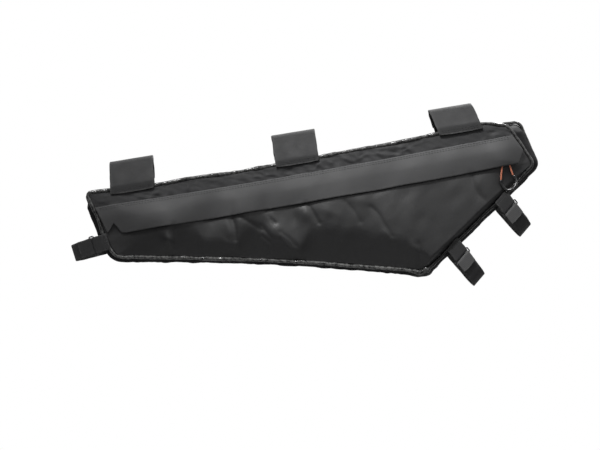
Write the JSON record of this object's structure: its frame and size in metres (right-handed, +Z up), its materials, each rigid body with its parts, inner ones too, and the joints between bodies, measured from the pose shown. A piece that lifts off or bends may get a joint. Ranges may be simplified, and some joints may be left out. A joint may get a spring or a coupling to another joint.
{
  "type": "bicycle frame bag",
  "caption": "Long zipped cloth bag for the front triangle of a bicycle frame, with wide straps over the top tube and narrow straps round the other tubes.",
  "frame": {"origin": "on the axis of the bicycle's top tube, at the middle strap", "axes": "+Z up, +X forward along the bicycle, +Y away from the side that the picture shows"},
  "size_m": [0.5625, 0.0757, 0.2205],
  "materials": {
    "coated_cloth": "black coated cloth with a soft gloss",
    "woven_cloth": "black woven cloth, matte",
    "piping": "glossy black piping",
    "zip": "black tape and coil",
    "wire": "dark metal wire",
    "orange_cord": "orange cord",
    "moulded_end": "glossy black moulding",
    "rubberised_cloth": "matte grey rubberised cloth",
    "webbing": "matte dark grey strap"
  },
  "bodies": {
    "root": {"near_panel": "coated_cloth", "far_panel": "coated_cloth", "top_band": "woven_cloth", "top_gusset": "woven_cloth", "front_gusset": "woven_cloth", "down_tube_gusset": "woven_cloth", "bottom_gusset": "woven_cloth", "rear_gusset": "woven_cloth", "near_binding": "piping", "far_binding": "piping", "zip_tape": "zip", "zip_slider": "wire", "zip_pull_cord": "orange_cord", "zip_pull_end": "moulded_end", "storm_flap": "rubberised_cloth", "top_tube_strap_rear": "webbing", "top_tube_strap_mid": "webbing", "top_tube_strap_front": "webbing", "top_tube_tab_rear": "webbing", "top_tube_tab_mid": "webbing", "top_tube_tab_front": "webbing", "seat_tube_strap": "webbing", "seat_tube_anchor": "webbing", "seat_tube_ring": "wire", "down_tube_strap_lower": "webbing", "down_tube_anchor_lower": "webbing", "down_tube_ring_lower": "wire", "down_tube_strap_upper": "webbing", "down_tube_anchor_upper": "webbing", "down_tube_ring_upper": "wire"}
  },
  "joints": []
}
